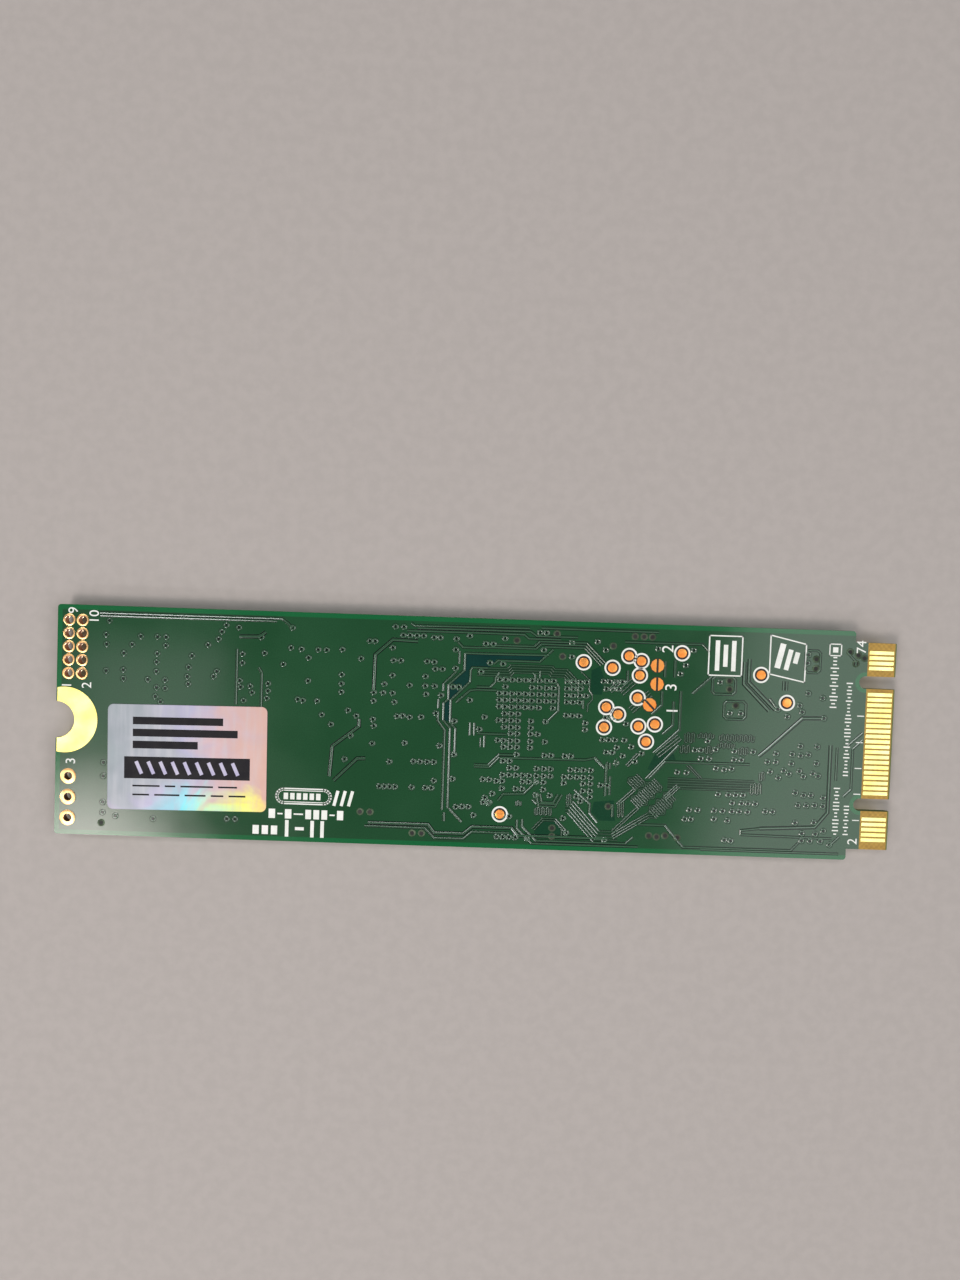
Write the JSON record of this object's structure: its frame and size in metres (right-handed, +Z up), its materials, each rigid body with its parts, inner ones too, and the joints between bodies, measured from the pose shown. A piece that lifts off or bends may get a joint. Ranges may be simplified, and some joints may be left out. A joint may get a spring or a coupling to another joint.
{
  "type": "gumstick solid state drive",
  "caption": "Bare gumstick storage card lying chips down, with a keyed gold edge connector, a half-round screw notch, chips on solder balls and a foil label on its back.",
  "frame": {"origin": "middle of the card's 80 by 22 mm outline, on the plane of the flash chips' outer faces, on which the card rests", "axes": "+X along the card towards the edge connector, +Y across the card towards the side of the ten-hole header, +Z up, out of the card's bare back"},
  "size_m": [0.08, 0.022, 0.0021],
  "materials": {
    "board_mask": "green solder mask over glass-epoxy laminate, half gloss",
    "gold_plating": "thin gold plating, satin",
    "bare_copper": "bare copper, satin",
    "label_foil": "silver diffraction foil, gloss",
    "chip_mould": "black moulding compound, fine grain",
    "solder": "tin and solder, half gloss",
    "inductor_block": "pressed grey powder, matt",
    "capacitor_ceramic": "brown fired ceramic, half gloss",
    "resistor_coat": "black glaze over white ceramic",
    "crystal_ceramic": "dark fired ceramic, matt",
    "crystal_metal": "plated metal lid, satin"
  },
  "bodies": {
    "root": {"circuit_board": "board_mask", "back_contact_fingers": "gold_plating", "front_contact_fingers": "gold_plating", "back_screw_pad": "gold_plating", "front_screw_pad": "gold_plating", "header_hole_sleeves": "gold_plating", "debug_hole_sleeves": "gold_plating", "test_pads": "bare_copper", "jumper_pads": "bare_copper", "hologram_label": "label_foil", "flash_chip_a": "chip_mould", "flash_chip_b": "chip_mould", "controller_chip": "chip_mould", "memory_chip": "chip_mould", "power_chip": "chip_mould", "boot_chip": "chip_mould", "input_switch": "chip_mould", "flash_chip_a_solder_balls": "solder", "flash_chip_b_solder_balls": "solder", "controller_chip_solder_balls": "solder", "memory_chip_solder_balls": "solder", "power_chip_contacts": "solder", "boot_chip_contacts": "solder", "input_switch_legs": "solder", "inductor_terminals": "solder", "small_capacitor_ends": "solder", "large_capacitor_ends": "solder", "resistor_ends": "solder", "power_inductors": "inductor_block", "small_capacitor_blocks": "capacitor_ceramic", "large_capacitor_blocks": "capacitor_ceramic", "resistor_blocks": "resistor_coat", "crystal_tray": "crystal_ceramic", "crystal_lid": "crystal_metal"}
  },
  "joints": []
}
